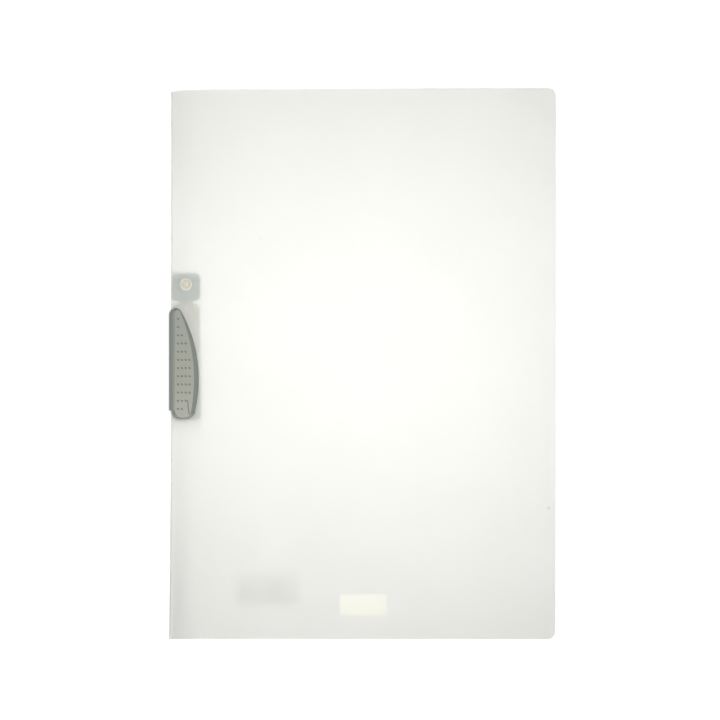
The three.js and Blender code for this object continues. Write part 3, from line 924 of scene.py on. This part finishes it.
def clip_material():
    """Smoke-grey polystyrene, moulded: sparked faces matt, polished sloping faces glossier; painted shade
    darkens the sloping faces and the nubs' sides, and painted light and shade grade the face.

    The real spark grain is too fine to show in the render, so it is drawn coarser, at SPARK_GRAIN.
    """
    material, tree = new_material("smoke_grey_polystyrene")
    coordinates = node(tree, "ShaderNodeTexCoord").outputs
    place = coordinates["Object"]
    upright = node(tree, "ShaderNodeSeparateXYZ", {0: coordinates["Normal"]}).outputs["Z"]
    face = node(tree, "ShaderNodeMapRange", {
        "Value": upright, "From Min": SLOPE_UPRIGHT, "From Max": FACE_UPRIGHT,
        "To Min": 0.0, "To Max": 1.0,
    }, interpolation_type="SMOOTHSTEP").outputs[0]
    mottle = node(tree, "ShaderNodeTexNoise", {
        "Vector": place, "Scale": 1 / (MOTTLE_SIZE * MM), "Detail": 3.0,
    })
    pale = node(tree, "ShaderNodeMix", {
        SHARE: mottle.outputs["Fac"], FIRST: linear("#9FA194"), SECOND: linear("#B0B2A5"),
    }, data_type="RGBA").outputs[MIXED]
    at = node(tree, "ShaderNodeSeparateXYZ", {0: place}).outputs
    # Painted shade on the sloping faces: darker than the matt face, a little less dark on the spine side.
    spine_side = node(tree, "ShaderNodeMath", {
        0: at["X"], 1: (SPINE_X + SPINE_SIDE) * MM,
    }, operation="LESS_THAN")
    painted_slope_shade = node(tree, "ShaderNodeMix", {
        SHARE: spine_side.outputs[0], FIRST: linear("#888E8A"), SECOND: linear("#979D99"),
    }, data_type="RGBA").outputs[MIXED]
    # Painted light and shade on the face: a little darker towards the tip and paler towards the foot.
    tip_end = node(tree, "ShaderNodeMapRange", {
        "Value": at["Y"], "From Min": (BELLY + FOOT_Y) * MM, "From Max": (JAW_HEAD + FOOT_Y) * MM,
    }, interpolation_type="SMOOTHSTEP").outputs[0]
    pale = node(tree, "ShaderNodeMix", {
        SHARE: tip_end, FIRST: pale, SECOND: linear("#A1A59A"),
    }, data_type="RGBA").outputs[MIXED]
    foot_end = node(tree, "ShaderNodeMapRange", {
        "Value": at["Y"], "From Min": (JAW_FOOT + FOOT_Y) * MM, "From Max": (BELLY + FOOT_Y) * MM,
        "To Min": 0.6, "To Max": 0.0,
    }, interpolation_type="SMOOTHSTEP").outputs[0]
    pale = node(tree, "ShaderNodeMix", {
        SHARE: foot_end, FIRST: pale, SECOND: linear("#BBBDB0"),
    }, data_type="RGBA").outputs[MIXED]
    # Less painted shade on the sloping faces near the rim at the foot.
    rim = node(tree, "ShaderNodeMapRange", {
        "Value": at["Y"],
        "From Min": (JAW_FOOT + FOOT_Y + 1.2) * MM, "From Max": (JAW_FOOT + FOOT_Y + 3.5) * MM,
        "To Min": 1.0, "To Max": 0.0,
    }, interpolation_type="SMOOTHSTEP").outputs[0]
    painted_slope_shade = node(tree, "ShaderNodeMix", {
        SHARE: rim, FIRST: painted_slope_shade, SECOND: linear("#B6BBB5"),
    }, data_type="RGBA").outputs[MIXED]
    colour = node(tree, "ShaderNodeMix", {
        SHARE: face, FIRST: painted_slope_shade, SECOND: pale,
    }, data_type="RGBA").outputs[MIXED]
    # The leg's own olive tint along its length, with painted shade darkening it at the foot and at the neck,
    # where the jaw lies over it.
    along = node(tree, "ShaderNodeMapRange", {
        "Value": at["Y"], "From Min": (LEG_FOOT + FOOT_Y) * MM, "From Max": (PIVOT_Y + FOOT_Y) * MM,
    }).outputs[0]
    leg = node(tree, "ShaderNodeValToRGB", {0: along})
    stops = leg.color_ramp.elements
    stops[0].position, stops[0].color = 0.0, linear("#666A5C")
    stops[1].position, stops[1].color = 0.95, linear("#747970")
    for position, code in ((0.12, "#737663"), (0.5, "#939573"), (0.84, "#95976D")):
        stops.new(position).color = linear(code)
    below = node(tree, "ShaderNodeMath", {
        0: at["Z"], 1: (LEG_TOP + 0.2) * MM,
    }, operation="LESS_THAN").outputs[0]
    colour = node(tree, "ShaderNodeMix", {
        SHARE: below, FIRST: colour, SECOND: leg.outputs[0],
    }, data_type="RGBA").outputs[MIXED]
    # Painted shade on the sides of the nubs, dark against the face.
    raised = node(tree, "ShaderNodeMath", {0: at["Z"], 1: (JAW_TOP + 0.03) * MM}, operation="GREATER_THAN")
    painted_nub_shade = node(tree, "ShaderNodeMath", {
        0: raised.outputs[0], 1: face,
    }, operation="SUBTRACT", use_clamp=True)
    colour = node(tree, "ShaderNodeMix", {
        SHARE: painted_nub_shade.outputs[0], FIRST: colour, SECOND: linear("#5B615E"),
    }, data_type="RGBA").outputs[MIXED]
    fine = node(tree, "ShaderNodeTexNoise", {"Vector": place, "Scale": 1 / (SPARK_GRAIN * MM), "Detail": 2.0})
    gloss = node(tree, "ShaderNodeMath", {0: face, 1: 0.22, 2: 0.26}, operation="MULTIPLY_ADD").outputs[0]
    rough = node(tree, "ShaderNodeMath", {0: fine.outputs["Fac"], 1: 0.1, 2: gloss}, operation="MULTIPLY_ADD")
    grain = node(tree, "ShaderNodeMath", {0: fine.outputs["Fac"], 1: face}, operation="MULTIPLY")
    bump = node(tree, "ShaderNodeBump", {
        "Height": grain.outputs[0], "Strength": 0.35, "Distance": 0.05 * MM,
    })
    shader = node(tree, "ShaderNodeBsdfPrincipled", {
        "Base Color": colour, "Roughness": rough.outputs[0], "IOR": 1.59, "Specular IOR Level": 0.36,
        "Normal": bump.outputs[0],
    })
    node(tree, "ShaderNodeOutputMaterial", {"Surface": shader.outputs[0]})
    return material


def rivet_material():
    """Cream acetal, moulded: a satin, faintly cloudy cream, with painted shade in the recess."""
    material, tree = new_material("cream_moulded_acetal")
    place = node(tree, "ShaderNodeTexCoord").outputs["Object"]
    cloud = node(tree, "ShaderNodeTexNoise", {"Vector": place, "Scale": 1 / (2.5 * MM), "Detail": 3.0})
    colour = node(tree, "ShaderNodeMix", {
        SHARE: cloud.outputs["Fac"], FIRST: linear("#E6DCC0"), SECOND: linear("#EFE7D0"),
    }, data_type="RGBA").outputs[MIXED]
    level = node(tree, "ShaderNodeSeparateXYZ", {0: place}).outputs["Z"]
    top = rivet_high.z + RIVET_CROWN
    # Painted shade: the recess is darker the lower it lies.
    painted_recess_shade = node(tree, "ShaderNodeMapRange", {
        "Value": level, "From Min": (top - RIVET_RECESS) * MM, "From Max": (top - 0.5) * MM,
        "To Min": 1.0, "To Max": 0.0,
    }, interpolation_type="SMOOTHSTEP").outputs[0]
    colour = node(tree, "ShaderNodeMix", {
        SHARE: painted_recess_shade, FIRST: colour, SECOND: linear("#968D73"),
    }, data_type="RGBA").outputs[MIXED]
    rough = node(tree, "ShaderNodeMapRange", {
        "Value": cloud.outputs["Fac"], "To Min": 0.3, "To Max": 0.42,
    })
    bump = node(tree, "ShaderNodeBump", {
        "Height": cloud.outputs["Fac"], "Strength": 0.15, "Distance": 0.05 * MM,
    })
    shader = node(tree, "ShaderNodeBsdfPrincipled", {
        "Base Color": colour, "Roughness": rough.outputs[0], "IOR": 1.48, "Normal": bump.outputs[0],
    })
    node(tree, "ShaderNodeOutputMaterial", {"Surface": shader.outputs[0]})
    return material


# Plate: its roughness and how much that varies, and the grain of its sparked mould
PLATE_ROUGHNESS = 0.45
PLATE_UNEVEN = 0.06
PLATE_GRAIN = 0.4
PLATE_PALER_FROM = 5.0


def plate_material():
    """Blue-grey polypropylene, moulded: satin, slightly uneven in tone and gloss, paler at its head end.

    The real spark grain is too fine to show in the render, so it is drawn coarser, at PLATE_GRAIN.
    """
    material, tree = new_material("blue_grey_polypropylene")
    place = node(tree, "ShaderNodeTexCoord").outputs["Object"]
    cloud = node(tree, "ShaderNodeTexNoise", {"Vector": place, "Scale": 1 / (6 * MM), "Detail": 3.0})
    colour = node(tree, "ShaderNodeMix", {
        SHARE: cloud.outputs["Fac"], FIRST: linear("#8FA097"), SECOND: linear("#98A89F"),
    }, data_type="RGBA").outputs[MIXED]
    height = node(tree, "ShaderNodeSeparateXYZ", {0: place}).outputs["Y"]
    head = node(tree, "ShaderNodeMapRange", {
        "Value": height, "From Min": (plate_high.y - PLATE_PALER_FROM) * MM,
        "From Max": (plate_high.y - PLATE_SHORTER) * MM,
        "To Min": 0.0, "To Max": 0.6,
    }, interpolation_type="SMOOTHSTEP").outputs[0]
    colour = node(tree, "ShaderNodeMix", {
        SHARE: head, FIRST: colour, SECOND: linear("#C6CDC9"),
    }, data_type="RGBA").outputs[MIXED]
    fine = node(tree, "ShaderNodeTexNoise", {"Vector": place, "Scale": 1 / (PLATE_GRAIN * MM), "Detail": 2.0})
    rough = node(tree, "ShaderNodeMapRange", {
        "Value": fine.outputs["Fac"], "To Min": PLATE_ROUGHNESS - PLATE_UNEVEN,
        "To Max": PLATE_ROUGHNESS + PLATE_UNEVEN,
    })
    bump = node(tree, "ShaderNodeBump", {
        "Height": fine.outputs["Fac"], "Strength": 0.2, "Distance": 0.03 * MM,
    })
    shader = node(tree, "ShaderNodeBsdfPrincipled", {
        "Base Color": colour, "Roughness": rough.outputs[0], "IOR": 1.5, "Normal": bump.outputs[0],
    })
    node(tree, "ShaderNodeOutputMaterial", {"Surface": shader.outputs[0]})
    return material


# Stage, lights and camera, in metres and watts
FLOOR_SIZE = 6.0
FLOOR_DROP = 0.0002
FLOOR_GLOW = 0.52
FLOOR_GLOW_SEEN = 0.12
LAMP_SIZE = 0.3
LAMP_POWER = 0.85
LAMP_PLACE = (0.004, 0.0155, 0.32)
AMBIENT = 0.19


def seen_share(tree):
    """1 for rays from the camera, off gloss and through film, which all see the white background."""
    path = node(tree, "ShaderNodeLightPath").outputs
    seen = node(tree, "ShaderNodeMath", {
        0: path["Is Camera Ray"], 1: path["Is Glossy Ray"],
    }, operation="MAXIMUM").outputs[0]
    return node(tree, "ShaderNodeMath", {
        0: seen, 1: path["Is Transmission Ray"],
    }, operation="MAXIMUM").outputs[0]


def make_stage():
    """Pale floor that takes the folder's shadow, and glows up to white where it is seen."""
    bpy.ops.mesh.primitive_plane_add(size=FLOOR_SIZE, location=(0, 0, -FLOOR_DROP))
    floor = bpy.context.object
    floor.name = "floor"
    material, tree = new_material("pale_floor")
    path = node(tree, "ShaderNodeLightPath").outputs
    lit = node(tree, "ShaderNodeBsdfDiffuse", {"Color": linear("#F4F4F2")})
    strength = node(tree, "ShaderNodeMath", {
        0: path["Is Camera Ray"], 1: FLOOR_GLOW_SEEN, 2: FLOOR_GLOW,
    }, operation="MULTIPLY_ADD").outputs[0]
    glow = node(tree, "ShaderNodeEmission", {"Color": linear("#FFFFFF"), "Strength": strength})
    both = node(tree, "ShaderNodeAddShader", {0: lit.outputs[0], 1: glow.outputs[0]})
    surface = node(tree, "ShaderNodeMixShader", {
        0: seen_share(tree), 1: lit.outputs[0], 2: both.outputs[0],
    })
    node(tree, "ShaderNodeOutputMaterial", {"Surface": surface.outputs[0]})
    floor.data.materials.append(material)


def make_lights():
    """One low, soft lamp over the middle, as the light falls off in the photograph, and a dim room."""
    lamp_data = bpy.data.lights.new("softbox", "AREA")
    lamp_data.shape = "DISK"
    lamp_data.size = LAMP_SIZE
    lamp_data.energy = LAMP_POWER
    lamp = bpy.data.objects.new("softbox", lamp_data)
    lamp.location = LAMP_PLACE
    bpy.context.scene.collection.objects.link(lamp)
    world = bpy.data.worlds.new("studio")
    world.use_nodes = True
    tree = world.node_tree
    tree.nodes.clear()
    ambient = node(tree, "ShaderNodeBackground", {"Color": linear("#FFFFFF"), "Strength": AMBIENT})
    white = node(tree, "ShaderNodeBackground", {"Color": linear("#FFFFFF"), "Strength": 1.0})
    mixed = node(tree, "ShaderNodeMixShader", {
        0: seen_share(tree), 1: ambient.outputs[0], 2: white.outputs[0],
    })
    node(tree, "ShaderNodeOutputWorld", {"Surface": mixed.outputs[0]})
    bpy.context.scene.world = world


def make_camera():
    """Straight above the folder, framed as the photograph is."""
    data = bpy.data.cameras.new("camera")
    data.lens = data.sensor_width * CAMERA_HEIGHT / (PHOTO_SIZE * MM_PER_PIXEL)
    data.clip_end = 20
    camera = bpy.data.objects.new("camera", data)
    camera.location = frame_point(MIDDLE_X, MIDDLE_Y, CAMERA_HEIGHT)
    bpy.context.scene.collection.objects.link(camera)
    bpy.context.scene.camera = camera


def build():
    back_film = film_material("frosted_polypropylene_back", FILM_TINT, back_marks)
    front_film = film_material("frosted_polypropylene_front", FILM_TINT, front_marks)
    smoke = clip_material()
    grey = plate_material()
    cream = rivet_material()

    back = new_piece("back_cover_film", film_mesh("back", back_path(), 0.0), back_film)
    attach(back, "folder")
    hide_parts("back_cover_and_spine")
    front = new_piece("front_cover_film", film_mesh("front", front_path(), FRONT_WAVINESS), front_film)
    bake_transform(front)
    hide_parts("front_cover")
    clip = make_clip(smoke)
    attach(clip, "swing_clip")
    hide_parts("swing_clip")
    tongue = make_tongue(film_material("thin_clear_polystyrene", ("#FBFBF9", "#FDFDFC"), plain_marks))
    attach(tongue, "swing_clip")
    plate = make_plate(grey)
    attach(plate, "folder")
    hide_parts("pivot_plate")
    rivet = make_rivet(cream)
    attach(rivet, "folder")
    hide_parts("pivot_rivet")


make_camera()
build()
make_stage()
make_lights()
bpy.context.scene.view_settings.view_transform = "Standard"
